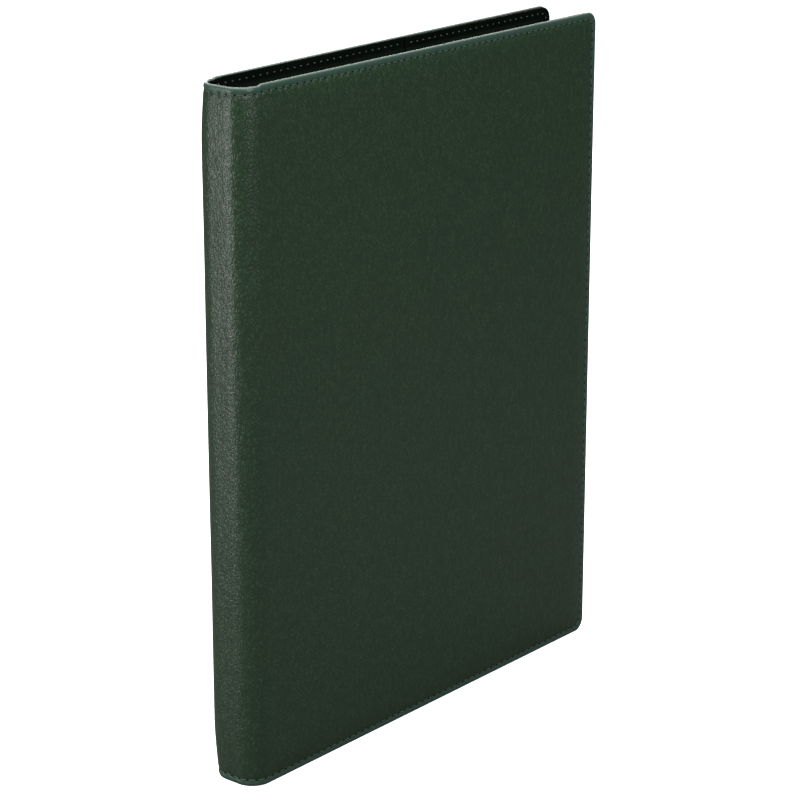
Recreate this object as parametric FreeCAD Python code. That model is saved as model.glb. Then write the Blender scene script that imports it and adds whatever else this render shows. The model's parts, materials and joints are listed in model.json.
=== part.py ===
"""Stamp album: a stockbook of black leaves in a padded, edge-stitched leather case.

Millimetres, +Z up.  The album stands on its tail edge, spine towards -X, fore-edge towards +X,
front cover towards -Y and rear cover towards +Y.  The origin is the centre of the footprint.

The case is one hide wrapped round two padded boards and a padded spine.  Its edge is turned in
and sewn to a black lining, which leaves a thin rim round each padded panel.  A wide pocket is
sewn into the same seam on the inside of each cover.  The leaves hang on linen hinges from card
guards glued up into the spine of the book block.
"""
import FreeCAD
import Part
import math
import os

V = FreeCAD.Vector

# ---- driving dimensions: case ----
case_height = 320.0          # tail to head
case_width = 250.0           # back of the spine to the fore-edge
corner_radius = 6.0          # fore-edge corners of both covers
rim_margin = 7.5             # board edge to case edge
pillow_rise = 1.0            # padded face stands this far above the sewn rim
splay = 0.4                  # degrees each cover stands open when the album is at rest

leather_thickness = 1.2
turn_in_thickness = 0.8      # skived hide folded behind the rim
lining_thickness = 0.8
padding_thickness = 1.5
board_thickness = 2.0
pocket_thickness = 0.8
pocket_width = 112.0         # pocket's free edge to the fore-edge
spine_corner_radius = 8.0    # outside of the sewn rim, where the spine turns into a cover
spine_padding_thickness = 1.0
spine_board_thickness = 0.8
hinge_gap = 4.0              # from the end of the spine's corner to the board

# ---- driving dimensions: seam ----
seam_inset = 3.8             # seam to case edge
thread_width = 0.6
thread_height = 0.35

# ---- driving dimensions: book block ----
leaf_count = 12
leaf_pitch = 1.4             # guard and leaf together
leaf_height = 297.0
leaf_thickness = 0.4
leaf_corner_radius = 3.0
square = 4.0                 # how far the boards stand past the leaves
guard_gap = 0.1              # glue line between guards
guard_width = 10.6
pivot_setback = 0.6          # guard's end to the leaf's hinge line
pivot_clearance = 0.6        # hinge line to the leaf's near edge
linen_thickness = 0.25
hollow_back = 1.6            # depth of the paper tube between spine lining and block
tube_wall = 0.3
tube_side_gap = 0.5          # tube to the spine's corner
band_gap = 0.2               # tube to the end bands
spine_cloth_thickness = 0.4
cloth_flange = 5.0
joint_cloth_thickness = 0.3
joint_cloth_width = 13.0
band_thickness = 0.8
band_height = 4.0
strip_rows = 9
strip_pitch = 31.0
strip_height = 26.5
strip_thickness = 0.12
strip_margin = 5.0           # strip to the leaf's fore-edge
strip_spine_margin = 9.0     # strip to the leaf's near edge
interleaf_thickness = 0.08
interleaf_setback = 1.0      # interleaf to the leaf's near edge
interleaf_inset = 1.0

# ---- clearances ----
fit_gap = 0.2                # round a board or pad inside the case
stack_gap = 0.3              # last leaf's share to the pocket
swing_gap = 1.5              # spine hide to cover hide, over the whole swing
board_wall = 0.8             # hide and lining that close the board's hinge edge

# ---- worked-out sizes ----
rim_stack = leather_thickness + turn_in_thickness + lining_thickness
cover_stack = leather_thickness + padding_thickness + board_thickness + lining_thickness
stack_half = leaf_count * leaf_pitch / 2
half_thickness = stack_half + stack_gap + pocket_thickness + cover_stack
rim_y = half_thickness - pillow_rise                    # outer face of the sewn rim
lining_y = rim_y - leather_thickness - turn_in_thickness
cover_inner_y = half_thickness - cover_stack            # inner face of the lining on the board

spine_x = -case_width / 2                               # back of the padded spine
fore_x = case_width / 2
corner_x = spine_x + pillow_rise + spine_corner_radius  # centres of the spine's corners
corner_y = rim_y - spine_corner_radius
cover_x = corner_x + hinge_gap - board_wall             # hinge edge of each cover's pieces
spine_end_x = cover_x - swing_gap                       # end of the spine hide's legs

# The hide bends about the middle of its own thickness, half way round the spine's corner.
hinge_radius = spine_corner_radius - rim_stack / 2 + pillow_rise
hinge_x = corner_x - hinge_radius * math.sqrt(0.5)
hinge_y = corner_y + hinge_radius * math.sqrt(0.5)

lining_back_x = corner_x - (spine_corner_radius - rim_stack)
block_x = lining_back_x + hollow_back + spine_cloth_thickness
pivot_x = block_x + guard_width + pivot_setback
leaf_x = pivot_x + pivot_clearance
leaf_fore_x = fore_x - rim_margin - square
leaf_z = (case_height - leaf_height) / 2
pocket_x = fore_x - pocket_width

FRONT = -1
REAR = 1


def box(x0, x1, y0, y1, z0, z1):
    """A block between two corners, whichever way round its limits are given."""
    low = V(min(x0, x1), min(y0, y1), min(z0, z1))
    return Part.makeBox(abs(x1 - x0), abs(y1 - y0), abs(z1 - z0), low)


def panel(x0, inset, radius, y0, y1):
    """A cover-shaped slab from x0 to the fore-edge, with its two fore-edge corners rounded."""
    x1 = fore_x - inset
    slab = box(x0, x1, y0, y1, inset, case_height - inset)
    if radius <= 0:
        return slab
    corners = [e for e in slab.Edges
               if abs(e.CenterOfMass.x - x1) < 1e-6 and e.Length < abs(y1 - y0) + 1e-6]
    return slab.makeFillet(radius, corners)


def soften(solid, radius, y_face):
    """Rounds the edges round a panel's face at y_face, except along its hinge edge."""
    edges = [e for e in solid.Edges
             if all(abs(v.Y - y_face) < 1e-6 for v in e.Vertexes)
             and e.CenterOfMass.x > cover_x + radius * 2]
    return solid.makeFillet(radius, edges)


def u_section(outer, inner, x_end):
    """The spine's cross-section between two offsets from the corners, with legs out to x_end."""
    def side(r):
        mid = r * math.sqrt(0.5)
        return [
            Part.LineSegment(V(x_end, -corner_y - r, 0), V(corner_x, -corner_y - r, 0)),
            Part.Arc(V(corner_x, -corner_y - r, 0), V(corner_x - mid, -corner_y - mid, 0),
                     V(corner_x - r, -corner_y, 0)),
            Part.LineSegment(V(corner_x - r, -corner_y, 0), V(corner_x - r, corner_y, 0)),
            Part.Arc(V(corner_x - r, corner_y, 0), V(corner_x - mid, corner_y + mid, 0),
                     V(corner_x, corner_y + r, 0)),
            Part.LineSegment(V(corner_x, corner_y + r, 0), V(x_end, corner_y + r, 0)),
        ]
    ends = [Part.LineSegment(V(x_end, s * (corner_y + outer), 0), V(x_end, s * (corner_y + inner), 0))
            for s in (FRONT, REAR)]
    edges = [c.toShape() for c in side(outer) + side(inner) + ends]
    return Part.Face(Part.Wire(Part.__sortEdges__(edges)))


def channel(outer, inner, x_end, z0, z1):
    """A U-shaped length of the spine between two offsets."""
    section = u_section(outer, inner, x_end)
    section.translate(V(0, 0, z0))
    return section.extrude(V(0, 0, z1 - z0))


def swing(shape, side):
    """Opens a finished cover piece from parallel to its resting splay."""
    turned = shape.copy()
    turned.rotate(V(hinge_x, side * hinge_y, 0), V(0, 0, 1), side * splay)
    return turned


def leaf_y(index):
    """Middle plane of a leaf, counted from the front."""
    return (index - (leaf_count - 1) / 2) * leaf_pitch


# ---- covers ----

def cover_leather(side):
    """Padded hide of one cover: a thin sewn rim round a raised panel, hollow for pad and board."""
    rim = panel(cover_x, 0, corner_radius, side * rim_y, side * lining_y)
    raised = panel(cover_x, rim_margin - leather_thickness, corner_radius, side * half_thickness,
                   side * lining_y)
    raised = soften(raised, pillow_rise * 0.9, side * half_thickness)
    inside = half_thickness - leather_thickness
    hollow = board_block(side * inside, side * (lining_y - 1.0), 0)
    return rim.fuse(raised).cut(hollow).removeSplitter()


def board_block(y0, y1, gap):
    """A slab the size of the board, less a gap all round."""
    return box(cover_x + board_wall + gap, fore_x - rim_margin - gap, y0, y1,
               rim_margin + gap, case_height - rim_margin - gap)


def cover_padding(side):
    outer = half_thickness - leather_thickness
    return board_block(side * outer, side * (outer - padding_thickness), fit_gap)


def cover_board(side):
    outer = half_thickness - leather_thickness - padding_thickness
    return board_block(side * outer, side * (outer - board_thickness), fit_gap)


def cover_lining(side):
    """Black lining: flat on the rim and stepped up over the board like a shallow tray."""
    rim = panel(cover_x, 0, corner_radius, side * lining_y, side * (lining_y - lining_thickness))
    wall = lining_thickness
    tray = box(cover_x, fore_x - rim_margin + wall, side * lining_y, side * cover_inner_y,
               rim_margin - wall, case_height - rim_margin + wall)
    hollow = board_block(side * (lining_y + 1.0), side * (cover_inner_y + lining_thickness), 0)
    return rim.fuse(tray).cut(hollow).removeSplitter()


def cover_pocket(side):
    """Pocket: a sheet over the board, stepped down to the rim on three sides, open at pocket_x."""
    low = lining_y - lining_thickness
    rim = panel(pocket_x, 0, corner_radius, side * low, side * (low - pocket_thickness))
    wall = lining_thickness + pocket_thickness
    tray = box(pocket_x, fore_x - rim_margin + wall, side * low,
               side * (cover_inner_y - pocket_thickness), rim_margin - wall,
               case_height - rim_margin + wall)
    step = lining_thickness
    hollow = box(pocket_x - 1.0, fore_x - rim_margin + step, side * (low + 1.0),
                 side * cover_inner_y, rim_margin - step, case_height - rim_margin + step)
    return rim.fuse(tray).cut(hollow).removeSplitter()


def seam_bead(side, x0, y_face, outwards):
    """Thread along head, fore-edge and tail of one cover, on one face of the rim."""
    y1 = y_face + outwards * thread_height
    outer = panel(x0, seam_inset - thread_width / 2, corner_radius - seam_inset + thread_width / 2,
                  y_face, y1)
    inset = seam_inset + thread_width / 2
    inner = box(x0 - 1.0, fore_x - inset, y_face - 1.0, y1 + 1.0, inset, case_height - inset)
    return outer.cut(inner)


def cover_stitching(side):
    """Outer run on the hide, and inner run that climbs from the lining on to the pocket."""
    inner_y = side * (lining_y - lining_thickness)
    pocket_y = inner_y - side * pocket_thickness
    outside = seam_bead(side, cover_x, side * rim_y, side)
    on_lining = seam_bead(side, cover_x, inner_y, -side)
    on_lining = on_lining.common(box(cover_x, pocket_x - fit_gap, inner_y, inner_y - side,
                                     0, case_height))
    on_pocket = seam_bead(side, pocket_x, pocket_y, -side)
    return Part.Compound([outside] + on_lining.Solids + [on_pocket])


def joint_cloth(side):
    """Cloth strip glued over the raw edge of the lining, along the hinge."""
    return box(cover_x + board_wall, cover_x + board_wall + joint_cloth_width,
               side * cover_inner_y, side * (cover_inner_y - joint_cloth_thickness),
               leaf_z, case_height - leaf_z)


# ---- spine ----

def spine_leather():
    """Hide of the spine and both hinges, thick where it is turned in at head and tail."""
    sewn = spine_corner_radius
    folded = sewn - leather_thickness - turn_in_thickness
    overlap = leather_thickness
    shell = channel(sewn + pillow_rise, sewn + pillow_rise - leather_thickness, spine_end_x,
                    rim_margin - overlap, case_height - rim_margin + overlap)
    for z0, z1 in ((0, rim_margin), (case_height - rim_margin, case_height)):
        shell = shell.fuse(channel(sewn, folded, spine_end_x, z0, z1))
    return shell.removeSplitter()


def spine_padding():
    outer = spine_corner_radius + pillow_rise - leather_thickness
    return channel(outer, outer - spine_padding_thickness, spine_end_x, rim_margin + fit_gap,
                   case_height - rim_margin - fit_gap)


def spine_board():
    outer = corner_x - (spine_corner_radius + pillow_rise - leather_thickness
                        - spine_padding_thickness)
    return box(outer, outer + spine_board_thickness, -corner_y, corner_y,
               rim_margin + fit_gap, case_height - rim_margin - fit_gap)


def spine_lining():
    outer = spine_corner_radius - leather_thickness - turn_in_thickness
    return channel(outer, outer - lining_thickness, spine_end_x, 0, case_height)


def spine_stitching():
    """Thread round the head and the tail of the spine, outside and inside."""
    outer = spine_corner_radius
    inner = spine_corner_radius - rim_stack
    beads = []
    for z in (seam_inset, case_height - seam_inset):
        z0 = z - thread_width / 2
        z1 = z + thread_width / 2
        beads.append(channel(outer + thread_height, outer, spine_end_x, z0, z1))
        beads.append(channel(inner, inner - thread_height, spine_end_x, z0, z1))
    return Part.Compound(beads)


# ---- book block ----

def page_guards():
    """Card guards, one for each leaf, glued up into the back of the block."""
    half = (leaf_pitch - guard_gap) / 2
    return Part.Compound([
        box(block_x, block_x + guard_width, leaf_y(i) - half, leaf_y(i) + half,
            leaf_z, case_height - leaf_z) for i in range(leaf_count)])


def linen_hinges():
    """The flexible strip of each leaf's linen hinge, between its guard and its leaf."""
    half = linen_thickness / 2
    return Part.Compound([
        box(block_x + guard_width, pivot_x, leaf_y(i) - half, leaf_y(i) + half,
            leaf_z, case_height - leaf_z) for i in range(leaf_count)])


def spine_cloth():
    """Cloth glued round the back of the block, with a flange down each side."""
    half = stack_half + spine_cloth_thickness
    wrap = box(block_x - spine_cloth_thickness, block_x + cloth_flange, -half, half,
               leaf_z, case_height - leaf_z)
    core = box(block_x, block_x + cloth_flange + 1.0, -stack_half, stack_half,
               leaf_z - 1.0, case_height)
    return wrap.cut(core)


def end_band(z0):
    """Woven band that hides the ends of the glued guards."""
    back = block_x - spine_cloth_thickness
    return box(back - band_thickness, back, -stack_half, stack_half, z0, z0 + band_height)


def hollow_tube():
    """Flattened paper tube that joins the block to the spine and opens as the covers swing."""
    half = corner_y - tube_side_gap
    z0 = leaf_z + band_height + band_gap
    outside = box(lining_back_x, lining_back_x + hollow_back, -half, half, z0, case_height - z0)
    inside = box(lining_back_x + tube_wall, lining_back_x + hollow_back - tube_wall,
                 tube_wall - half, half - tube_wall, z0 - 1.0, case_height)
    return outside.cut(inside)


def leaf(index):
    """One stiff black card leaf."""
    y = leaf_y(index)
    half = leaf_thickness / 2
    card = box(leaf_x, leaf_fore_x, y - half, y + half, leaf_z, case_height - leaf_z)
    corners = [e for e in card.Edges
               if abs(e.CenterOfMass.x - leaf_fore_x) < 1e-6 and e.Length < leaf_thickness + 1e-6]
    return card.makeFillet(leaf_corner_radius, corners)


def strips(index):
    """Clear film strips, nine rows on each face of a leaf, open at the top."""
    y = leaf_y(index)
    half = leaf_thickness / 2
    first = (leaf_height - strip_rows * strip_pitch) / 2 + leaf_z
    films = []
    for side in (FRONT, REAR):
        for row in range(strip_rows):
            z0 = first + row * strip_pitch
            films.append(box(leaf_x + strip_spine_margin, leaf_fore_x - strip_margin,
                             y + side * half, y + side * (half + strip_thickness),
                             z0, z0 + strip_height))
    return Part.Compound(films)


def interleaf(index):
    """Glassine sheet lying on the rear strips of one leaf, to keep them off the next."""
    y = leaf_y(index) + leaf_thickness / 2 + strip_thickness
    return box(leaf_x + interleaf_setback, leaf_fore_x - interleaf_inset, y,
               y + interleaf_thickness, leaf_z + interleaf_inset,
               case_height - leaf_z - interleaf_inset)


def build():
    """Every piece of the album, by node name."""
    parts = {
        "spine_leather": spine_leather(),
        "spine_padding": spine_padding(),
        "spine_board": spine_board(),
        "spine_lining": spine_lining(),
        "spine_stitching": spine_stitching(),
        "spine_cloth": spine_cloth(),
        "page_guards": page_guards(),
        "linen_hinges": linen_hinges(),
        "hollow_tube": hollow_tube(),
        "tail_band": end_band(leaf_z),
        "head_band": end_band(case_height - leaf_z - band_height),
    }
    cover_pieces = {
        "leather": cover_leather,
        "padding": cover_padding,
        "board": cover_board,
        "lining": cover_lining,
        "pocket": cover_pocket,
        "stitching": cover_stitching,
        "joint_cloth": joint_cloth,
    }
    for name, side in (("front", FRONT), ("rear", REAR)):
        for piece, make in cover_pieces.items():
            parts[f"{name}_{piece}"] = swing(make(side), side)
    for i in range(leaf_count):
        parts[f"leaf_{i + 1:02d}"] = leaf(i)
        parts[f"strips_{i + 1:02d}"] = strips(i)
        if i < leaf_count - 1:
            parts[f"interleaf_{i + 1:02d}"] = interleaf(i)
    return parts


def main():
    os.makedirs("parts", exist_ok=True)
    for name, shape in build().items():
        if not shape.isValid():
            raise ValueError(f"{name} isn't a valid solid")
        shape.exportStep(os.path.join("parts", f"{name}.step"))
        b = shape.BoundBox
        print(f"{name:18s} solids {len(shape.Solids):3d}  x {b.XMin:8.2f} {b.XMax:8.2f}"
              f"  y {b.YMin:7.2f} {b.YMax:7.2f}  z {b.ZMin:6.1f} {b.ZMax:6.1f}")
    print(f"front hinge axis x {hinge_x:.3f} y {-hinge_y:.3f}")
    print(f"leaf hinge line x {pivot_x:.3f}, first leaf y {leaf_y(0):.3f}")
    print(f"half thickness {half_thickness:.2f}, cover hinge edge x {cover_x:.2f}")


main()
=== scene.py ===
"""Looks for a stamp album: a padded, edge-stitched leather case with black card leaves.

Every size is in metres, in the frame's own axes: X from the spine to the fore-edge, Y from the
front cover to the rear cover and Z from the tail to the head.
"""

import json
import math

import bpy
import numpy as np
from mathutils import Matrix, Vector


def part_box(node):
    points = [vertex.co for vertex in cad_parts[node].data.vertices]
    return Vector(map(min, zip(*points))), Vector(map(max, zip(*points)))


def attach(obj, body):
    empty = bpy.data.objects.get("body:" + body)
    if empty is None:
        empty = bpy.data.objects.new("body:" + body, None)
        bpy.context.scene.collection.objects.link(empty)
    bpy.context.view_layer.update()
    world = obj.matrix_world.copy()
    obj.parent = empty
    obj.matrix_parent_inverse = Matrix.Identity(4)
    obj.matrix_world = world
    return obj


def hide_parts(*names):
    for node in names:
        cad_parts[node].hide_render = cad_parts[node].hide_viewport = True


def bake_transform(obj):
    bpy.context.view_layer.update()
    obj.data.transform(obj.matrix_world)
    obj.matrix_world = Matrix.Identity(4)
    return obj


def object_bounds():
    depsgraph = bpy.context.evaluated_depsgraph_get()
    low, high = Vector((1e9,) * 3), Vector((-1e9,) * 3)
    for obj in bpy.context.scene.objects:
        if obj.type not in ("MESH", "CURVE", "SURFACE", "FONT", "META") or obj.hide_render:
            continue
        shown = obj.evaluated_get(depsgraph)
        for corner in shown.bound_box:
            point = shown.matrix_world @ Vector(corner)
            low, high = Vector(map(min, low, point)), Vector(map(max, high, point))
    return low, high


bl_info = {
    "name": "Stamp Album",
    "version": (1, 0, 0),
    "blender": (4, 5, 0),
    "location": "View3D > Sidebar > Album",
    "description": "Dresses the album's frame in leather, thread, lining and stamp leaves",
    "category": "Add Mesh",
}

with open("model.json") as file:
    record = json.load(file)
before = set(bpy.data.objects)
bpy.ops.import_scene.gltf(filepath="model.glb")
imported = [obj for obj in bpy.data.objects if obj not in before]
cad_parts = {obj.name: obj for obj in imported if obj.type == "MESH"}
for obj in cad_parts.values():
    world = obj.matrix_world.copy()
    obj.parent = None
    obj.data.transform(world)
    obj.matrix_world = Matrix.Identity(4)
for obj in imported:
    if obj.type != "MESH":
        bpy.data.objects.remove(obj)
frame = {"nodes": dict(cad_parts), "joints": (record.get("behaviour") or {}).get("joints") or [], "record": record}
CAD_LOW, CAD_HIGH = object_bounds()

MM = 0.001
FRONT, REAR = -1, 1
SIDES = (("front", FRONT), ("rear", REAR))
SPINE_LOW, SPINE_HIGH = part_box("spine_leather")
PANEL_EDGE_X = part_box("front_lining")[0].x
POCKET_EDGE_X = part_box("front_pocket")[0].x
BOARD_LOW, BOARD_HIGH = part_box("front_board")
HEIGHT = CAD_HIGH.z
FORE_X = CAD_HIGH.x
HINGE = Vector(next(j["pos_m"] for j in frame["joints"] if j["name"] == "rear_cover_hinge"))

# How far apart the grid lines of the hide and of the layers under it stand.
SPINE_STEP, CORNER_STEP, JOINT_STEP, FACE_STEP = 1.3 * MM, 0.5 * MM, 0.8 * MM, 3.2 * MM
LAYER_STEP, LAYER_CORNER_STEP = 4.0 * MM, 0.6 * MM
EDGE_FIRST, EDGE_STEP, EDGE_GROWTH, FINE_EDGE = 0.6 * MM, 0.55 * MM, 1.22, 7.0 * MM
LIE = 0.02 * MM  # air between two layers that lie on each other


# ---- settings ----

def length(name, description, default):
    """A size in metres, shown with its unit."""
    return bpy.props.FloatProperty(name=name, description=description, default=default,
                                   unit="LENGTH", precision=5, min=0.0)


def colour(name, description, default):
    """A linear colour."""
    return bpy.props.FloatVectorProperty(name=name, description=description, default=default,
                                         subtype="COLOR", size=3, min=0.0, max=1.0)


class AlbumCaseSettings(bpy.types.PropertyGroup):
    """Sizes of the sewn leather case."""

    pillow_rise: length("Pillow rise", "Padded face above the sewn rim", 1.0 * MM)
    spine_rise: length("Spine rise", "Padded spine above the sewn rim", 1.25 * MM)
    pillow_reach: length("Pillow reach", "From the seam to the full rise on a cover", 11.0 * MM)
    spine_reach: length("Spine reach", "From the seam to the full rise on the spine", 26.0 * MM)
    spine_corner: length("Spine corner", "Radius between spine and cover", 10.0 * MM)
    fold_radius: length("Fold radius", "Half the thickness of the folded hide", 1.0 * MM)
    fold_shift: length("Fold shift", "Hinge fold, past the middle of the corner", 0.55 * MM)
    fold_reach: length("Fold reach", "Half the width of the hinge fold", 1.3 * MM)
    edge_roll: length("Edge roll", "How far in the rim starts to round over", 2.6 * MM)
    head_drop: length("Head drop", "Spine's rim below the covers' at the head", 0.55 * MM)
    hide_thickness: length("Hide thickness", "Skived thickness of the hide", 0.9 * MM)
    turn_in: length("Turn-in", "Hide folded behind the rim", 6.0 * MM)
    corner_radius: length("Corner radius", "Fore-edge corners", 6.0 * MM)
    corner_zone: length("Corner zone", "Reach of the rounding from a corner", 20.0 * MM)
    splay: bpy.props.FloatProperty(name="Splay", description="How far each cover stands open",
                                   default=math.radians(0.4), subtype="ANGLE")
    waviness: length("Waviness", "Slow unevenness of the padding", 0.10 * MM)
    board_depth: length("Board depth", "Rim's outer face to the board's outer face", 1.7 * MM)
    board_thickness: length("Board thickness", "Cover boards", 2.0 * MM)
    lining_thickness: length("Lining thickness", "Cover lining", 0.8 * MM)
    joint_lining_thickness: length("Joint lining thickness", "Lining round the spine", 0.45 * MM)
    lining_inset: length("Lining inset", "Lining edge to case edge", 0.35 * MM)
    pocket_thickness: length("Pocket thickness", "Pocket sheet", 0.8 * MM)


class AlbumSeamSettings(bpy.types.PropertyGroup):
    """Sizes of the sewing."""

    inset: length("Seam inset", "Seam to case edge", 3.2 * MM)
    pitch: length("Stitch pitch", "Hole to hole", 4.45 * MM)
    thread_radius: length("Thread radius", "Half the thread's width", 0.24 * MM)
    groove_depth: length("Groove depth", "How far the thread pulls the hide in", 0.34 * MM)
    groove_width: length("Groove width", "Half width of the pulled-in line", 0.95 * MM)
    hole_radius: length("Hole radius", "Needle hole", 0.50 * MM)


class AlbumColours(bpy.types.PropertyGroup):
    """Colours of the album's materials."""

    leather: colour("Leather", "Dyed hide", (0.0190, 0.0480, 0.0205))
    thread: colour("Thread", "Sewing thread", (0.032, 0.070, 0.050))
    knot: colour("Inside thread", "Where the needle thread shows inside", (0.038, 0.042, 0.038))
    lining: colour("Lining", "Black leatherette", (0.0012, 0.0030, 0.0015))
    card: colour("Card", "Page card", (0.0085, 0.0085, 0.0090))
    linen: colour("Linen", "Hinge linen and book cloth", (0.014, 0.014, 0.015))
    glassine: colour("Glassine", "Interleaf paper", (0.72, 0.72, 0.68))
    kraft: colour("Kraft", "Paper tube", (0.40, 0.27, 0.16))
    grey_board: colour("Grey board", "Cover boards", (0.26, 0.25, 0.23))
    foam: colour("Foam", "Padding", (0.62, 0.60, 0.52))


class AlbumStageSettings(bpy.types.PropertyGroup):
    """Camera, lights and floor."""

    camera_place: bpy.props.FloatVectorProperty(
        name="Camera place", description="Where the camera stands", subtype="XYZ",
        unit="LENGTH", default=(-0.9352, -0.7709, 0.5395))
    camera_yaw: bpy.props.FloatProperty(name="Camera yaw", description="From +Y towards +X",
                                        default=0.879, subtype="ANGLE")
    camera_pitch: bpy.props.FloatProperty(name="Camera pitch", description="Below the horizon",
                                          default=0.310, subtype="ANGLE")
    camera_lens: bpy.props.FloatProperty(name="Lens", description="Focal length in millimetres",
                                         default=122.0, unit="CAMERA")


# ---- the case's outline in plan ----

def case():
    """The case's settings."""
    return bpy.context.scene.album_case


def seam():
    """The sewing's settings."""
    return bpy.context.scene.album_seam


def rim_x():
    """Outer face of the sewn rim at the back of the spine."""
    return SPINE_LOW.x + case().pillow_rise


def rim_y():
    """Outer face of the sewn rim on a cover, at the hinge."""
    return SPINE_HIGH.y - case().pillow_rise


def corner_centre():
    """Centre of the spine's rear corner; the front one is its mirror image."""
    return rim_x() + case().spine_corner, rim_y() - case().spine_corner


def corner_length():
    """Length of the hide round one corner of the spine."""
    return case().spine_corner * math.pi / 2


def path_length():
    """Length of the hide from the middle of the spine to the fore-edge."""
    centre_x, centre_y = corner_centre()
    return centre_y + corner_length() + FORE_X - centre_x


def path_of_x(x):
    """Distance along the hide of a place on the cover."""
    centre_x, centre_y = corner_centre()
    return centre_y + corner_length() + x - centre_x


def smooth(t):
    """Eases from 0 to 1."""
    t = np.clip(t, 0.0, 1.0)
    return t * t * t * (t * (6.0 * t - 15.0) + 10.0)


def plan(s, depth, side):
    """Plan position at a distance s along the hide and a depth in from the rim's outer face."""
    centre_x, centre_y = corner_centre()
    radius, bend = case().spine_corner, corner_length()
    angle = np.clip((s - centre_y) / radius, 0.0, math.pi / 2)
    x = centre_x - (radius - depth) * np.cos(angle)
    y = centre_y + (radius - depth) * np.sin(angle)
    y = np.where(s < centre_y, s, y)
    x = x + np.maximum(s - centre_y - bend, 0.0)
    turn = case().splay * smooth((s - centre_y) / bend)
    away_x, away_y = x - HINGE.x, y - HINGE.y
    x = HINGE.x + away_x * np.cos(turn) - away_y * np.sin(turn)
    y = HINGE.y + away_x * np.sin(turn) + away_y * np.cos(turn)
    return x, y * side


def height(s, from_end, at_head):
    """Height of a place at a distance from the head or the tail.

    At the head the spine's rim is drawn down a little, as far as the cover's lining.
    """
    notch_start, notch_length, drop_reach = -0.4 * MM, 1.6 * MM, 26.0 * MM
    on_spine = 1.0 - smooth((s - path_of_x(PANEL_EDGE_X) - notch_start) / notch_length)
    near_end = smooth(1.0 - from_end / drop_reach)
    head = HEIGHT - from_end - case().head_drop * on_spine * near_end
    return np.where(at_head, head, from_end)


def round_corner(from_fore, from_end):
    """Pulls square rings round a fore-edge corner in to the corner's radius."""
    zone, radius = case().corner_zone, case().corner_radius
    a, b = zone - from_fore, zone - from_end
    inside = (a > 0) & (b > 0)
    reach = np.maximum(np.maximum(a, b), 1e-9)
    bend = radius * np.minimum(reach / zone, 1.0)
    flat = reach - bend
    turning = inside & (a > flat) & (b > flat)
    share_a = np.clip((a - flat) / bend, 0.0, 1.0)
    share_b = np.clip((b - flat) / bend, 0.0, 1.0)
    angle = np.where(a >= b, share_b, 2.0 - share_a) * math.pi / 4
    new_a = np.where(turning, flat + bend * np.cos(angle), a)
    new_b = np.where(turning, flat + bend * np.sin(angle), b)
    return zone - new_a, zone - new_b


def seam_length():
    """Length of the seam from the middle of the spine to half way up the fore-edge."""
    inset = seam().inset
    return path_length() - inset + HEIGHT / 2 - inset


def stitch_pitch():
    """Pitch that puts a whole number of stitches on each run of the seam."""
    return seam_length() / round(seam_length() / seam().pitch)


def spine_share(s):
    """1 on the spine, falling to 0 just past its corner."""
    _, centre_y = corner_centre()
    return 1.0 - smooth((s - centre_y - 0.6 * corner_length()) / corner_length())


def pillow(inset, s):
    """Height of the hide above the rim's plane at a distance in from the edge."""
    share = spine_share(s)
    rise = share * case().spine_rise + (1.0 - share) * case().pillow_rise
    reach = share * case().spine_reach + (1.0 - share) * case().pillow_reach
    t = np.clip((inset - seam().inset) / reach, 0.0, 1.0)
    swell = np.sin(t * math.pi / 2) ** (1.0 + 0.15 * share)
    groove = np.exp(-((inset - seam().inset) / seam().groove_width) ** 2)
    return rise * swell - seam().groove_depth * groove


def wander(s, z, seed):
    """Slow unevenness, from a few crossed waves."""
    total = np.zeros_like(s)
    for k in range(1, 5):
        fx, fz = 17.0 * k + 5.0 * seed, 13.0 * k + 3.0 * seed
        total += np.sin(fx * s * 1.7 + k * 1.3 + seed) * np.cos(fz * z * 1.9 + k * 2.1) / k
    return total / 2.1


# ---- mesh helpers ----

def steps(start, end, size):
    """Evenly spaced values from start to end, both included, about size apart."""
    count = max(1, round(abs(end - start) / size))
    return list(np.linspace(start, end, count + 1))


def edge_steps(zone):
    """Distances in from an edge, close together near the seam and wider further in."""
    values, gap = [EDGE_FIRST], EDGE_STEP
    while values[-1] < FINE_EDGE:
        values.append(values[-1] + gap)
    while values[-1] < zone:
        gap *= EDGE_GROWTH
        values.append(values[-1] + gap)
    return [v * zone / values[-1] for v in values]


def deselect():
    """Leaves nothing selected, so that an operator acts only on what it is given."""
    if bpy.context.object and bpy.context.object.mode != "OBJECT":
        bpy.ops.object.mode_set(mode="OBJECT")
    bpy.ops.object.select_all(action="DESELECT")


def activate(obj):
    """Selects one object and makes it active."""
    deselect()
    obj.select_set(True)
    bpy.context.view_layer.objects.active = obj


def coordinates(obj):
    """A mesh's vertices as an array."""
    co = np.zeros(len(obj.data.vertices) * 3)
    obj.data.vertices.foreach_get("co", co)
    return co.reshape(-1, 3)


def place_vertices(obj, x, y, z):
    """Moves every vertex to its own place."""
    obj.data.vertices.foreach_set("co", np.stack([x, y, z], axis=1).astype(np.float32).ravel())
    obj.data.update()


def grid(name, columns, rows):
    """A grid with a vertex for each column and row, and each vertex's column and row number."""
    deselect()
    bpy.ops.mesh.primitive_grid_add(x_subdivisions=columns - 1, y_subdivisions=rows - 1, size=1.0)
    obj = bpy.context.object
    obj.name = obj.data.name = name
    co = coordinates(obj)
    across = np.rint((co[:, 0] + 0.5) * (columns - 1)).astype(int)
    up = np.rint((co[:, 1] + 0.5) * (rows - 1)).astype(int)
    return obj, across, up


def flip(obj):
    """Turns a sheet's faces the other way."""
    activate(obj)
    bpy.ops.object.mode_set(mode="EDIT")
    bpy.ops.mesh.select_all(action="SELECT")
    bpy.ops.mesh.flip_normals()
    bpy.ops.object.mode_set(mode="OBJECT")


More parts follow.
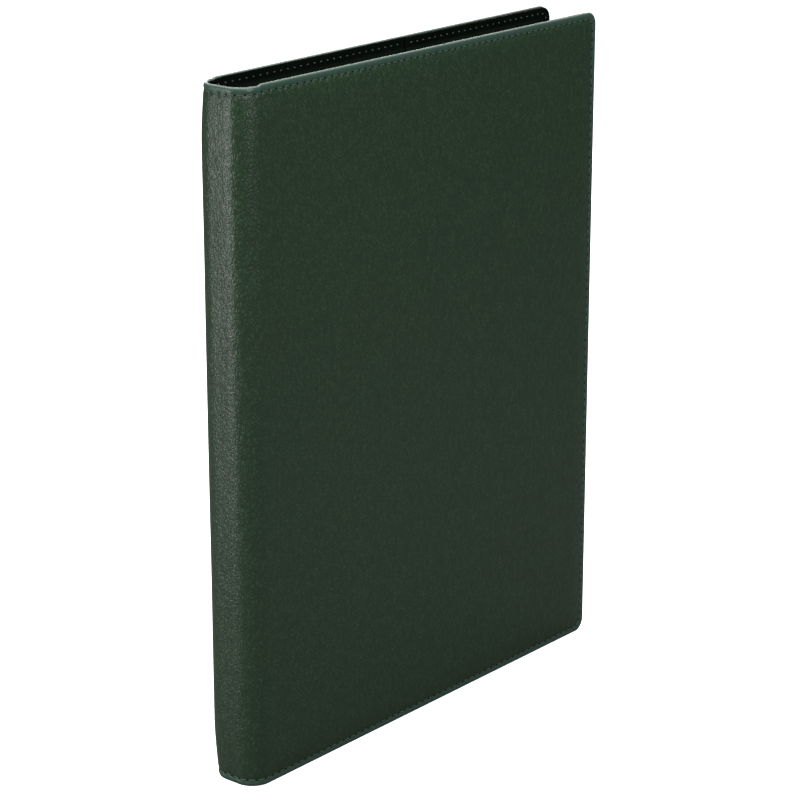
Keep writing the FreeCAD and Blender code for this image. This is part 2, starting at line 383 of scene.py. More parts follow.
def finish_with(obj, kind, **settings):
    """Adds a modifier and applies it."""
    activate(obj)
    modifier = obj.modifiers.new(kind.title(), kind)
    for key, value in settings.items():
        setattr(modifier, key, value)
    bpy.ops.object.modifier_apply(modifier=modifier.name)


def thicken(obj, thickness, bevel=0.0):
    """Gives a sheet its thickness, away from its outward face, and softens its cut edges."""
    finish_with(obj, "SOLIDIFY", thickness=thickness, offset=-1.0, use_even_offset=True,
                use_quality_normals=True)
    if bevel:
        finish_with(obj, "BEVEL", width=bevel, segments=2, limit_method="ANGLE",
                    angle_limit=math.radians(50.0))


def shade(obj, degrees=40.0):
    """Smooth shading, with sharp edges kept."""
    activate(obj)
    bpy.ops.object.shade_smooth_by_angle(angle=math.radians(degrees))


def paint(obj, *materials):
    """Gives a piece its materials."""
    obj.data.materials.clear()
    for material in materials:
        obj.data.materials.append(material)


def map_uv(obj, name, u, v):
    """Stores one UV coordinate for each vertex."""
    layer = obj.data.uv_layers.new(name=name)
    loops = np.zeros(len(obj.data.loops), dtype=int)
    obj.data.loops.foreach_get("vertex_index", loops)
    layer.data.foreach_set("uv", np.stack([u[loops], v[loops]], axis=1).astype(np.float32).ravel())


def bend_with_cover(piece):
    """Bakes a piece's placement into its mesh."""
    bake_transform(piece)


# ---- materials ----

MADE = {}


class Nodes:
    """Builds one material's node tree."""

    def __init__(self, name):
        self.material = bpy.data.materials.new(f"album_{name}")
        self.material.use_nodes = True
        self.tree = self.material.node_tree
        self.shader = self.tree.nodes["Principled BSDF"]
        self.object_coords = self.add("ShaderNodeTexCoord").outputs["Object"]

    def add(self, kind, inputs=None, **settings):
        """One node, with its settings, constants and links."""
        node = self.tree.nodes.new(kind)
        for key, value in settings.items():
            setattr(node, key, value)
        for key, value in (inputs or {}).items():
            self.put(node.inputs[key], value)
        return node

    def put(self, socket, value):
        """Links an output to a socket, or sets a constant on it."""
        if isinstance(value, bpy.types.NodeSocket):
            self.tree.links.new(value, socket)
        else:
            socket.default_value = value

    def shade(self, **inputs):
        """Sets the shader's own sockets; an underscore stands for a space."""
        for key, value in inputs.items():
            self.put(self.shader.inputs[key.replace("_", " ")], value)

    def math(self, operation, a, b=0.0):
        """One sum."""
        node = self.add("ShaderNodeMath", {0: a, 1: b}, operation=operation)
        return node.outputs[0]

    def stretch(self, value, low, high, new_low=0.0, new_high=1.0):
        """A smooth ramp from one range to another."""
        node = self.add("ShaderNodeMapRange",
                        {"Value": value, "From Min": low, "From Max": high,
                         "To Min": new_low, "To Max": new_high}, interpolation_type="SMOOTHSTEP")
        return node.outputs["Result"]

    def noise(self, scale, detail=2.0, roughness=0.5, vector=None, output="Fac"):
        """Noise on the piece's own coordinates."""
        node = self.add("ShaderNodeTexNoise",
                        {"Vector": vector or self.object_coords, "Scale": scale,
                         "Detail": detail, "Roughness": roughness})
        return node.outputs[output]

    def cells(self, scale, vector, feature="DISTANCE_TO_EDGE"):
        """Cells on the given coordinates."""
        node = self.add("ShaderNodeTexVoronoi", {"Vector": vector, "Scale": scale},
                        feature=feature)
        return node.outputs["Distance"]

    def warp(self, scale, amount):
        """The piece's coordinates, pushed about by noise."""
        push = self.noise(scale, 2.0, output="Color")
        centred = self.add("ShaderNodeVectorMath", {0: push, 1: (0.5, 0.5, 0.5)},
                           operation="SUBTRACT").outputs[0]
        scaled = self.add("ShaderNodeVectorMath", {0: centred, "Scale": amount},
                          operation="SCALE").outputs[0]
        return self.add("ShaderNodeVectorMath", {0: self.object_coords, 1: scaled},
                        operation="ADD").outputs[0]

    def mix(self, share, a, b):
        """One colour into another."""
        node = self.add("ShaderNodeMix", {"Factor": share}, data_type="RGBA")
        for socket, value in zip([s for s in node.inputs if s.type == "RGBA"], (a, b)):
            self.put(socket, value)
        return next(s for s in node.outputs if s.type == "RGBA")

    def bump(self, height, distance, strength=1.0, under=None):
        """A bump, on top of another one."""
        inputs = {"Height": height, "Distance": distance, "Strength": strength}
        if under is not None:
            inputs["Normal"] = under
        return self.add("ShaderNodeBump", inputs).outputs["Normal"]


def tone(rgb, factor=1.0):
    """A colour with alpha, lightened or darkened."""
    return (*[min(1.0, c * factor) for c in rgb], 1.0)


def leather_material():
    """Pebbled hide, ironed smooth outside the seam and puckered at each needle hole, with painted shade in its
    wrinkles and creases and a pale fold that is edge wear and a painted highlight.
    """
    n = Nodes("green_leather")
    base = bpy.context.scene.album_colours.leather
    drawn = n.add("ShaderNodeMapping", {"Vector": n.warp(240.0, 0.0013),
                                        "Scale": (1.0, 1.0, 0.66)}).outputs[0]
    crease = n.stretch(n.cells(680.0, drawn), 0.01, 0.26)
    fine_crease = n.stretch(n.cells(1300.0, n.warp(600.0, 0.0008)), 0.02, 0.32)
    long_way = n.add("ShaderNodeMapping", {"Vector": n.warp(90.0, 0.003),
                                           "Scale": (1.0, 1.0, 0.50)}).outputs[0]
    wrinkle = n.noise(460.0, 3.0, 0.55, vector=long_way)
    swell = n.noise(85.0, 3.0)

    uv = n.add("ShaderNodeUVMap", uv_map="seam").outputs[0]
    split = n.add("ShaderNodeSeparateXYZ", {"Vector": uv})
    along, inward = split.outputs["X"], split.outputs["Y"]
    off_seam = n.math("ABSOLUTE", n.math("SUBTRACT", inward, seam().inset / stitch_pitch()))
    near_seam = n.stretch(off_seam, 0.05, 0.5, 1.0, 0.0)
    wave = n.math("COSINE", n.math("MULTIPLY", along, 2.0 * math.pi))
    pucker = n.math("MULTIPLY", wave, near_seam)

    beyond_seam = n.stretch(inward, 0.45, 0.80)
    ironed = n.stretch(beyond_seam, 0.0, 1.0, 0.25, 1.0)
    relief = n.math("MULTIPLY", n.math("SUBTRACT", wrinkle, 0.5), ironed)
    pebbles = n.math("MULTIPLY", n.math("SUBTRACT", crease, 0.5), ironed)

    bump = n.bump(swell, 0.0006, 0.6)
    bump = n.bump(n.math("MULTIPLY", pucker, -1.0), 0.00016, 0.8, bump)
    bump = n.bump(relief, 0.00038, 0.9, bump)
    bump = n.bump(pebbles, 0.00007, 1.0, bump)
    bump = n.bump(fine_crease, 0.00003, 0.8, bump)

    mottle = n.stretch(n.noise(30.0, 4.0, 0.6), 0.35, 0.65)
    olive = tone((base[0] * 1.16, base[1] * 1.04, base[2] * 1.02))
    teal = tone((base[0] * 0.98, base[1] * 1.02, base[2] * 1.08))
    hide = n.mix(mottle, teal, olive)
    # Painted shade: the colour is darker along the wrinkles and in the creases between the pebbles.
    shaded = n.mix(n.stretch(wrinkle, 0.35, 0.65), tone(base, 0.66), hide)
    crease_shaded = n.mix(crease, tone(base, 0.6), shaded)
    # Edge wear and a painted highlight: near the fold the hide is painted a pale grey-green, mixed in below.
    edge = n.stretch(n.math("ABSOLUTE", inward), 0.05, 0.17, 1.0, 0.0)
    # The strip between the seam and the edge is painted lighter and bluer than the panel.
    rim_strip_tint = n.mix(beyond_seam, tone((base[0] * 1.5, base[1] * 1.35, base[2] * 2.3)), crease_shaded)
    fold_wear_and_highlight = n.mix(n.math("MULTIPLY", edge, 0.75), rim_strip_tint, (0.135, 0.170, 0.145, 1.0))
    n.shade(Base_Color=fold_wear_and_highlight, Normal=bump, Specular_IOR_Level=0.45,
            Roughness=n.stretch(n.math("ADD", n.math("MULTIPLY", crease, -0.5), swell),
                                -0.5, 1.0, 0.43, 0.33))
    return n.material


def thread_material(name, base):
    """Bonded thread with a fine twist."""
    n = Nodes(name)
    fibre = n.noise(5200.0, 2.0)
    n.shade(Base_Color=n.mix(fibre, tone(base, 0.6), tone(base, 1.4)), Roughness=0.55,
            Sheen_Weight=0.25, Sheen_Roughness=0.4, Normal=n.bump(fibre, 0.0001, 0.7))
    return n.material


def hole_shadow_material():
    """Painted shadow inside a needle hole: near-black, where the hole's shade falls."""
    n = Nodes("needle_hole")
    shadow = n.noise(2600.0, 1.0)
    n.shade(Base_Color=n.mix(shadow, (0.0006, 0.0012, 0.0008, 1.0), (0.002, 0.003, 0.0024, 1.0)),
            Roughness=0.95, Specular_IOR_Level=0.05)
    return n.material


def lining_material(name="black_lining", grain=1100.0, roughness=0.72):
    """Black leatherette with a very fine grain."""
    n = Nodes(name)
    base = bpy.context.scene.album_colours.lining
    grains = n.cells(grain, n.warp(500.0, 0.0006))
    crease = n.stretch(grains, 0.02, 0.3)
    cloud = n.noise(60.0, 3.0)
    n.shade(Base_Color=n.mix(cloud, tone(base, 0.7), tone(base, 1.5)),
            Roughness=n.stretch(cloud, 0.2, 0.8, roughness - 0.05, roughness + 0.08),
            Specular_IOR_Level=0.04, Normal=n.bump(crease, 0.00008, 0.6))
    return n.material


def card_material():
    """Matt black page card with a slight tooth."""
    n = Nodes("black_card")
    base = bpy.context.scene.album_colours.card
    tooth = n.noise(2400.0, 3.0, 0.7)
    cloud = n.noise(25.0, 4.0, 0.6)
    n.shade(Base_Color=n.mix(cloud, tone(base, 0.8), tone(base, 1.35)), Roughness=0.82,
            Specular_IOR_Level=0.3, Normal=n.bump(tooth, 0.00006, 0.5))
    return n.material


def film_material():
    """Clear gloss film with faint drawing lines."""
    n = Nodes("clear_film")
    lines = n.add("ShaderNodeMapping", {"Vector": n.object_coords, "Scale": (1.0, 1.0, 40.0)})
    streak = n.noise(60.0, 2.0, vector=lines.outputs[0])
    n.shade(Base_Color=(0.86, 0.89, 0.92, 1.0), Alpha=0.22, IOR=1.49,
            Roughness=n.stretch(streak, 0.3, 0.7, 0.06, 0.14),
            Normal=n.bump(streak, 0.00004, 0.25))
    return n.material


def glassine_material():
    """Translucent glassine with cloudy fibres."""
    n = Nodes("glassine")
    base = bpy.context.scene.album_colours.glassine
    cloud = n.noise(90.0, 5.0, 0.65)
    n.shade(Base_Color=n.mix(cloud, tone(base, 0.92), tone(base, 1.04)), Alpha=0.55,
            Roughness=n.stretch(cloud, 0.3, 0.7, 0.42, 0.55),
            Normal=n.bump(cloud, 0.00008, 0.3))
    return n.material


def woven_material(name, base, threads, roughness=0.8, relief=0.00008):
    """Plain weave, from two crossed sets of threads."""
    n = Nodes(name)
    split = n.add("ShaderNodeSeparateXYZ", {"Vector": n.object_coords})
    turn = 2.0 * math.pi * threads
    flat = n.math("ADD", split.outputs["X"], split.outputs["Y"])
    warp = n.math("SINE", n.math("MULTIPLY", flat, turn))
    weft = n.math("SINE", n.math("MULTIPLY", split.outputs["Z"], turn))
    weave = n.stretch(n.math("MULTIPLY", warp, weft), -1.0, 1.0)
    fuzz = n.noise(1800.0, 3.0)
    n.shade(Base_Color=n.mix(n.math("MULTIPLY", weave, fuzz), tone(base, 0.6), tone(base, 1.7)),
            Roughness=roughness, Specular_IOR_Level=0.25, Normal=n.bump(weave, relief, 0.8))
    return n.material


def paper_material(name, base, fibres=900.0, roughness=0.85):
    """Pressed paper or board with visible fibres."""
    n = Nodes(name)
    drawn = n.add("ShaderNodeMapping", {"Vector": n.object_coords, "Scale": (1.0, 1.0, 0.25)})
    fibre = n.noise(fibres, 4.0, 0.7, vector=drawn.outputs[0])
    n.shade(Base_Color=n.mix(fibre, tone(base, 0.8), tone(base, 1.15)), Roughness=roughness,
            Specular_IOR_Level=0.3, Normal=n.bump(fibre, 0.00008, 0.5))
    return n.material


def foam_material():
    """Open-cell sheet foam, with painted shade in its pores."""
    n = Nodes("foam")
    base = bpy.context.scene.album_colours.foam
    pores = n.cells(1400.0, n.object_coords, feature="F1")
    # Painted shade: each foam cell is painted darker towards its middle, where its pore is.
    n.shade(Base_Color=n.mix(n.stretch(pores, 0.1, 0.6), tone(base, 0.6), tone(base, 1.05)),
            Roughness=0.95, Specular_IOR_Level=0.2, Normal=n.bump(pores, 0.0003, 0.8))
    return n.material


def material_for(slot):
    """The material of a slot of the record, made once."""
    if slot in MADE:
        return MADE[slot]
    colours = bpy.context.scene.album_colours
    makers = {
        "green_leather": leather_material,
        "green_thread": lambda: thread_material("green_thread", colours.thread),
        "inner_knots": lambda: thread_material("inner_knots", colours.knot),
        "needle_hole": hole_shadow_material,
        "black_lining": lining_material,
        "pocket_cloth": lambda: lining_material("pocket_cloth", 1300.0, 0.66),
        "foam": foam_material,
        "grey_board": lambda: paper_material("grey_board", colours.grey_board),
        "black_card": card_material,
        "clear_film": film_material,
        "glassine": glassine_material,
        "guard_card": lambda: paper_material("guard_card", colours.card),
        "linen": lambda: woven_material("linen", colours.linen, 1500.0),
        "joint_cloth": lambda: woven_material("joint_cloth", colours.linen, 1200.0),
        "kraft_paper": lambda: paper_material("kraft_paper", colours.kraft),
        "band_silk": lambda: woven_material("band_silk", colours.thread, 900.0, 0.45),
    }
    MADE[slot] = makers[slot]()
    return MADE[slot]


# ---- hide ----

def folded_edge(t):
    """Inset from the edge and depth from the outer face, at a distance t in from the fold.

    The outer face rolls over gently into the fold, and the turned-in side is a tight half round.
    """
    radius, roll = case().fold_radius, case().edge_roll
    angle = np.clip(t / radius, -math.pi / 2, math.pi / 2)
    reach = np.where(t > 0.0, roll, radius)
    beyond = np.maximum(np.abs(t) - radius * math.pi / 2, 0.0)
    return reach * (1.0 - np.cos(angle)) + beyond, radius * (1.0 - np.sin(angle))


def hide_lines():
    """Unfolded distances of the hide's grid lines: along it from the spine, and up it."""
    zone, radius, roll = case().corner_zone, case().fold_radius, case().edge_roll
    quarter = radius * math.pi / 2
    centre_y, bend = corner_centre()[1], corner_length()
    outer = [v - EDGE_FIRST + quarter for v in edge_steps(zone - roll + EDGE_FIRST)]
    around = list(np.linspace(-quarter, quarter, 13)[:-1])
    behind = [-quarter - case().turn_in, -quarter - 3.0 * MM, -quarter - 1.0 * MM]
    border = behind + around + outer
    across = path_length() - roll + quarter
    start = steps(0.0, centre_y, SPINE_STEP)
    corner = steps(centre_y, centre_y + bend, CORNER_STEP)
    joint_end = path_of_x(PANEL_EDGE_X) + 4.0 * MM
    joint = steps(centre_y + bend, joint_end, JOINT_STEP)
    flat = steps(joint_end, path_length() - zone, FACE_STEP)
    columns = start + corner[1:] + joint[1:] + flat[1:] + [across - v for v in border[-2::-1]]
    tall = HEIGHT + 2.0 * (quarter - roll)
    middle = steps(border[-1], tall - border[-1], FACE_STEP)
    rows = border[:-1] + middle + [tall - v for v in border[-2::-1]]
    return np.array(columns), np.array(rows), across, tall


def hide_points(columns, rows, across, tall, side):
    """Folds the flat hide round the case. Gives its points and its place along the seam."""
    zone = case().corner_zone
    slack = case().fold_radius * math.pi / 2 - case().edge_roll
    to_fore = across - columns
    to_end = np.minimum(rows, tall - rows)
    nearest = np.minimum(to_fore, to_end)
    other = np.maximum(to_fore, to_end)
    inset, depth = folded_edge(nearest)
    edge_zone = zone + slack
    beside = inset + (other - nearest) * (zone - inset) / np.maximum(edge_zone - nearest, 1e-9)
    beside = np.where(other < edge_zone, beside, other - slack)
    from_fore = np.where(to_fore < to_end, inset, beside)
    from_end = np.where(to_fore < to_end, beside, inset)
    along = np.where(from_end <= from_fore, path_length() - from_fore,
                     path_length() + from_end - 2.0 * seam().inset)
    outside = nearest > 0.0
    from_fore, from_end = round_corner(from_fore, from_end)
    s = path_length() - from_fore
    z = height(s, from_end, rows > tall / 2)
    rise = np.where(outside, pillow(inset, s), 0.0)
    full = smooth((inset - seam().inset) / case().pillow_reach)
    rise += np.where(outside, wander(s, z, side + 2.0) * case().waviness * full, 0.0)
    x, y = plan(s, depth - rise, side)
    inward = np.where(outside, inset, -inset)
    return x, y, z, along / stitch_pitch(), inward / stitch_pitch()


def make_hide(label, side):
    """Half of the case's hide, from the middle of the spine to one fore-edge."""
    columns, rows, across, tall = hide_lines()
    hide, i, j = grid(f"{label}_hide", len(columns), len(rows))
    x, y, z, along, inward = hide_points(columns[i], rows[j], across, tall, side)
    place_vertices(hide, x, y, z)
    map_uv(hide, "seam", along, inward)
    if side == REAR:
        flip(hide)
    thicken(hide, case().hide_thickness)
    shade(hide)
    paint(hide, material_for("green_leather"))
    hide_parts(f"{label}_leather", "spine_leather")
    bend_with_cover(hide)


# ---- flat layers inside the case ----

def layer_step(inset, low, high):
    """Depth of a layer that lies on the rim and steps up over the board."""
    step_start, step_width = FORE_X - BOARD_HIGH.x - 2.8 * MM, 2.6 * MM
    return low + (high - low) * smooth((inset - step_start) / step_width)


def layer(name, side, s_start, s_end, depth_at, margin, inner=True):
    """A cover-shaped sheet from s_start to s_end, with its depth given by a rule.

    Gives the sheet and each vertex's distance along the case and height.
    """
    zone = case().corner_zone
    fine = [margin] + [v for v in edge_steps(zone) if v > margin + 0.3 * MM]
    if s_end is None:
        flat_end = path_length() - zone
        tail = [path_length() - v for v in reversed(fine[:-1])]
    else:
        flat_end, tail = s_end, []
    centre_y, bend = corner_centre()[1], corner_length()
    turns = [s for s in (centre_y, centre_y + bend) if s_start < s < flat_end]
    marks = [s_start, *turns, flat_end]
    step = LAYER_CORNER_STEP if s_start < centre_y else LAYER_STEP
    head = [s for a, b in zip(marks, marks[1:]) for s in steps(a, b, step)[:-1]]
    columns = np.array(head + [flat_end] + tail)
    rows = np.array(fine[:-1] + steps(fine[-1], HEIGHT - fine[-1], LAYER_STEP)
                    + [HEIGHT - v for v in reversed(fine[:-1])])
    sheet, i, j = grid(name, len(columns), len(rows))
    from_fore = path_length() - columns[i]
    from_end = np.minimum(rows[j], HEIGHT - rows[j])
    inset = np.minimum(from_fore, from_end)
    from_fore, from_end = round_corner(from_fore, from_end)
    s = path_length() - from_fore
    z = height(s, from_end, rows[j] > HEIGHT / 2)
    x, y = plan(s, depth_at(inset, s), side)
    place_vertices(sheet, x, y, z)
    if (side == FRONT) == inner:
        flip(sheet)
    return sheet, s, z


def rim_back():
    """Depth of the folded hide's inner face at the rim."""
    return 2.0 * case().fold_radius + LIE


def board_back():
    """Depth of the board's inner face."""
    return case().board_depth + case().board_thickness + LIE


def make_lining(label, side):
    """Black lining of one cover, from the hinge to the fore-edge."""
    thick = case().lining_thickness
    rim = rim_back() + thick
    raised = board_back() + thick
    lining, _, _ = layer(f"{label}_cover_lining", side, path_of_x(PANEL_EDGE_X), None,
                         lambda inset, s: layer_step(inset, rim, raised), case().lining_inset)
    thicken(lining, thick, bevel=0.2 * MM)
    shade(lining)
    paint(lining, material_for("black_lining"))
    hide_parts(f"{label}_lining")
    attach(lining, f"{label}_cover")


def make_joint_lining(label, side):
    """Thin lining from the middle of the spine round to the cover's lining."""
    thick = case().joint_lining_thickness
    end = path_of_x(PANEL_EDGE_X) - 0.2 * MM
    depth = rim_back() + thick
    lining, _, _ = layer(f"{label}_joint_lining", side, 0.0, end,
                         lambda inset, s: depth + 0.0 * s, case().lining_inset + 0.3 * MM)
    thicken(lining, thick, bevel=0.12 * MM)
    shade(lining)
    paint(lining, material_for("black_lining"))
    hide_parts("spine_lining")
    bend_with_cover(lining)


def make_pocket(label, side):
    """Pocket sleeve, sewn down on three sides and open towards the spine."""
    thick = case().pocket_thickness
    rim = rim_back() + case().lining_thickness + LIE + thick
    raised = board_back() + case().lining_thickness + LIE + thick
    pocket, _, _ = layer(f"{label}_pocket_sleeve", side, path_of_x(POCKET_EDGE_X), None,
                         lambda inset, s: layer_step(inset, rim, raised),
                         case().lining_inset + 0.1 * MM)
    thicken(pocket, thick, bevel=0.25 * MM)
    shade(pocket)
    paint(pocket, material_for("pocket_cloth"))
    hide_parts(f"{label}_pocket")
    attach(pocket, f"{label}_cover")


def foam_pad(name, side, s_start, s_end, floor, margin):
    """A closed pad with its crown under the hide and its floor flat on a board."""
    skin, thinnest = case().hide_thickness + 0.08 * MM, 0.3 * MM

    def crown(inset, s):
        return np.minimum(skin - pillow(inset, s), floor - thinnest)

    foam, s, z = layer(name, side, s_start, s_end, crown, margin, inner=False)
    thicken(foam, 0.2 * MM)
    co = coordinates(foam)
    half = len(s)
    x, y = plan(s, floor + 0.0 * s, side)
    co[half:, 0], co[half:, 1], co[half:, 2] = x, y, z
    place_vertices(foam, *co.T)
    shade(foam)
    paint(foam, material_for("foam"))
    return foam


def make_cover_foam(label, side):
    """Crowned foam between the hide and the board of one cover."""
    foam = foam_pad(f"{label}_foam", side, path_of_x(BOARD_LOW.x), path_of_x(BOARD_HIGH.x),
                    case().board_depth - 0.03 * MM, HEIGHT - BOARD_HIGH.z)
    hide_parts(f"{label}_padding")
    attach(foam, f"{label}_cover")


def make_spine_foam(label, side):
    """Foam under the hide of one half of the spine's back."""
    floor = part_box("spine_board")[0].x - rim_x() - 0.03 * MM
    foam = foam_pad(f"{label}_spine_foam", side, 0.0, corner_centre()[1], floor,
                    HEIGHT - BOARD_HIGH.z)
    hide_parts("spine_padding")
    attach(foam, "spine")


# ---- sewing ----

def seam_point(u, depth, side, half):
    """A place on the seam: u along it from the spine, at a depth, on the head or tail half."""
    inset = seam().inset
    turn = path_length() - inset
    from_fore = np.where(u < turn, path_length() - u, inset)
    from_end = np.where(u < turn, inset, inset + u - turn)
    from_fore, from_end = round_corner(from_fore, from_end)
    s = path_length() - from_fore
    x, y = plan(s, depth, side)
    z = height(s, from_end, half == "head")
    return np.stack([x, y, z], axis=-1)


def sewing_frames(u, depth, side, half):
    """Places on the seam with their directions along it and out of it."""
    step = 0.2 * MM
    here = seam_point(u, depth, side, half)
    ahead = seam_point(u + step, depth, side, half) - seam_point(u - step, depth, side, half)
    along = ahead / np.linalg.norm(ahead, axis=1, keepdims=True)
    deeper = seam_point(u, depth + step, side, half) - here
    out = -deeper / np.linalg.norm(deeper, axis=1, keepdims=True)
    across = np.cross(out, along)
    return here, along, across, out


def ball(name, segments, rings):
    """A unit ball to shape a small piece from."""
    deselect()
    bpy.ops.mesh.primitive_uv_sphere_add(segments=segments, ring_count=rings, radius=1.0)
    obj = bpy.context.object
    obj.name = name
    return obj


def stitch_shape():
    """One stitch: a rod along X whose ends dive into the hide."""
    stitch = ball("stitch", 8, 7)
    wide, tall, dive_depth = 1.15, 0.85, 0.5 * MM
    co = coordinates(stitch)
    along = co[:, 2]
    around = np.hypot(co[:, 0], co[:, 1])
    thick = seam().thread_radius * (1.0 - along ** 4) ** 0.5
    half = stitch_pitch() / 2 - seam().hole_radius * 0.55
    across = np.where(around > 1e-4, co[:, 0] / np.maximum(around, 1e-6), 0.0)
    up = np.where(around > 1e-4, co[:, 1] / np.maximum(around, 1e-6), 0.0)
    dive = dive_depth * along ** 4
    place_vertices(stitch, along * half, across * thick * wide, up * thick * tall - dive)
    return stitch


def knot_shape():
    """One knot: where the needle thread shows on the inside."""
    knot = ball("knot", 8, 5)
    half_length, half_width, half_height = 0.62 * MM, 0.36 * MM, 0.22 * MM
    co = coordinates(knot) * np.array([half_length, half_width, half_height])
    place_vertices(knot, *co.T)
    return knot


def hole_shadow_shape():
    """One needle hole's painted shadow: a shallow closed lens."""
    hole = ball("needle_hole", 10, 4)
    radius, squeeze, half_height = seam().hole_radius, 0.85, 0.1 * MM
    co = coordinates(hole) * np.array([radius, squeeze * radius, half_height])
    place_vertices(hole, *co.T)
    return hole


def repeat(name, shape, frames, lift):
    """Copies a shape to every frame and joins the copies into one piece."""
    copies = []
    for here, along, across, out in zip(*frames):
        copy = shape.copy()
        copy.data = shape.data.copy()
        bpy.context.scene.collection.objects.link(copy)
        turn = Matrix((along, across, out)).transposed().to_4x4()
        copy.matrix_world = Matrix.Translation(Vector(here) + lift * Vector(out)) @ turn
        copies.append(copy)
    bpy.data.objects.remove(shape)
    activate(copies[0])
    for copy in copies:
        copy.select_set(True)
    bpy.ops.object.join()
    joined = bpy.context.object
    joined.name = joined.data.name = name
    bpy.ops.object.transform_apply(location=True, rotation=True, scale=True)
    shade(joined, 60.0)
    return joined


def join_frames(*groups):
    """Several sets of frames as one."""
    return tuple(np.concatenate(parts) for parts in zip(*groups))


def outer_frames(side, offset):
    """Frames of the outside row, at whole pitches plus an offset."""
    count = round(seam_length() / stitch_pitch())
    u = (np.arange(count) + offset) * stitch_pitch()
    if offset == 0.0 and side == REAR:
        u = u[1:]
    depth = seam().groove_depth + 0.0 * u
    return join_frames(*[sewing_frames(u, depth, side, half) for half in ("head", "tail")])


def inner_frames(side, offset, s_start, s_end, depth):
    """Frames of a stretch of the inside row, which faces the leaves."""
    count = round(seam_length() / stitch_pitch())
    u = (np.arange(count) + offset) * stitch_pitch()
    u = u[(u > s_start) & (u < s_end)]
    groups = []
    for half in ("head", "tail"):
        here, along, across, out = sewing_frames(u, depth + 0.0 * u, side, half)
        groups.append((here, along, -across, -out))
    return join_frames(*groups)


def make_outer_stitching(label, side):
    """The outside row of one half of the case, with a painted shadow in each needle hole."""
    thread = repeat(f"{label}_outer_thread", stitch_shape(), outer_frames(side, 0.5), LIE)
    paint(thread, material_for("green_thread"))
    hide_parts(f"{label}_stitching", "spine_stitching")
    bend_with_cover(thread)
    # Painted shadows: a near-black lens over each needle hole.
    hole_shadows = repeat(f"{label}_outer_hole_shadows", hole_shadow_shape(), outer_frames(side, 0.0), LIE)
    paint(hole_shadows, material_for("needle_hole"))
    bend_with_cover(hole_shadows)


def make_inner_stitching(label, side):
    """The inside row: on the joint lining, on the cover's lining and on the pocket."""
    rim = 2.0 * case().fold_radius
    joint = rim + case().joint_lining_thickness
    lining = rim + case().lining_thickness
    pocket = lining + case().pocket_thickness
    panel_edge, pocket_edge = path_of_x(PANEL_EDGE_X), path_of_x(POCKET_EDGE_X)
    clear = 0.8 * MM
    around = repeat(f"{label}_joint_thread", knot_shape(),
                    inner_frames(side, 1.0, 0.0, panel_edge - clear, joint), 0.0)
    bend_with_cover(around)
    rest = join_frames(
        inner_frames(side, 1.0, panel_edge + clear, pocket_edge - clear, lining),
        inner_frames(side, 1.0, pocket_edge + clear, seam_length(), pocket))
    on_cover = repeat(f"{label}_inner_thread", knot_shape(), rest, 0.0)
    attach(on_cover, f"{label}_cover")
    for piece in (around, on_cover):
        paint(piece, material_for("inner_knots"))


# ---- operators ----

class AlbumOperator(bpy.types.Operator):
    """Shared settings of the album's operators."""

    bl_options = {"REGISTER", "UNDO"}


class ALBUM_OT_hides(AlbumOperator):
    """Makes both halves of the padded leather hide"""

    bl_idname = "album.hides"
    bl_label = "Leather hides"

    def execute(self, context):
        for label, side in SIDES:
            make_hide(label, side)
        return {"FINISHED"}


class ALBUM_OT_foam(AlbumOperator):
    """Makes the foam under the hide of the covers and the spine"""

    bl_idname = "album.foam"
    bl_label = "Foam padding"

    def execute(self, context):
        for label, side in SIDES:
            make_cover_foam(label, side)
            make_spine_foam(label, side)
        return {"FINISHED"}


class ALBUM_OT_linings(AlbumOperator):
    """Makes the linings of the covers and of the spine"""

    bl_idname = "album.linings"
    bl_label = "Linings"

    def execute(self, context):
        for label, side in SIDES:
            make_lining(label, side)
            make_joint_lining(label, side)
        return {"FINISHED"}


class ALBUM_OT_pockets(AlbumOperator):
    """Makes the pocket on the inside of each cover"""

    bl_idname = "album.pockets"
    bl_label = "Pockets"

    def execute(self, context):
        for label, side in SIDES:
            make_pocket(label, side)
        return {"FINISHED"}


class ALBUM_OT_stitching(AlbumOperator):
    """Sews the case along its edges, outside and inside"""

    bl_idname = "album.stitching"
    bl_label = "Stitching"

    def execute(self, context):
        for label, side in SIDES:
            make_outer_stitching(label, side)
            make_inner_stitching(label, side)
        return {"FINISHED"}


class ALBUM_OT_frame_finishes(AlbumOperator):
    """Gives the frame's own pieces their materials"""

    bl_idname = "album.frame_finishes"
    bl_label = "Finishes of the frame's pieces"

    def execute(self, context):
        for entry in frame["record"]["subparts"]:
            node = frame["nodes"][entry["node"]]
            paint(node, material_for(entry["material_slot"]))
        return {"FINISHED"}


class ALBUM_OT_stage(AlbumOperator):
    """Sets up the floor, the lights and the camera"""

    bl_idname = "album.stage"
    bl_label = "Stage"

    def execute(self, context):
        make_floor()
        make_lights()
        make_camera()
        return {"FINISHED"}


def make_floor():
    """A flat floor, white to look at, that throws only a little light back up."""
    deselect()
    bpy.ops.mesh.primitive_plane_add(size=8.0, location=(0.0, 0.0, 0.0))
    floor = bpy.context.object
    floor.name = "stage_floor"
    n = Nodes("stage_floor")
    seen = n.add("ShaderNodeLightPath").outputs["Is Camera Ray"]
    grey, white = tone((0.14,) * 3), tone((0.95,) * 3)
    n.shade(Base_Color=n.mix(seen, grey, white), Emission_Color=tone((1.0,) * 3),
            Emission_Strength=n.math("MULTIPLY", seen, 0.95),
            Roughness=0.9, Specular_IOR_Level=0.0)
    paint(floor, n.material)


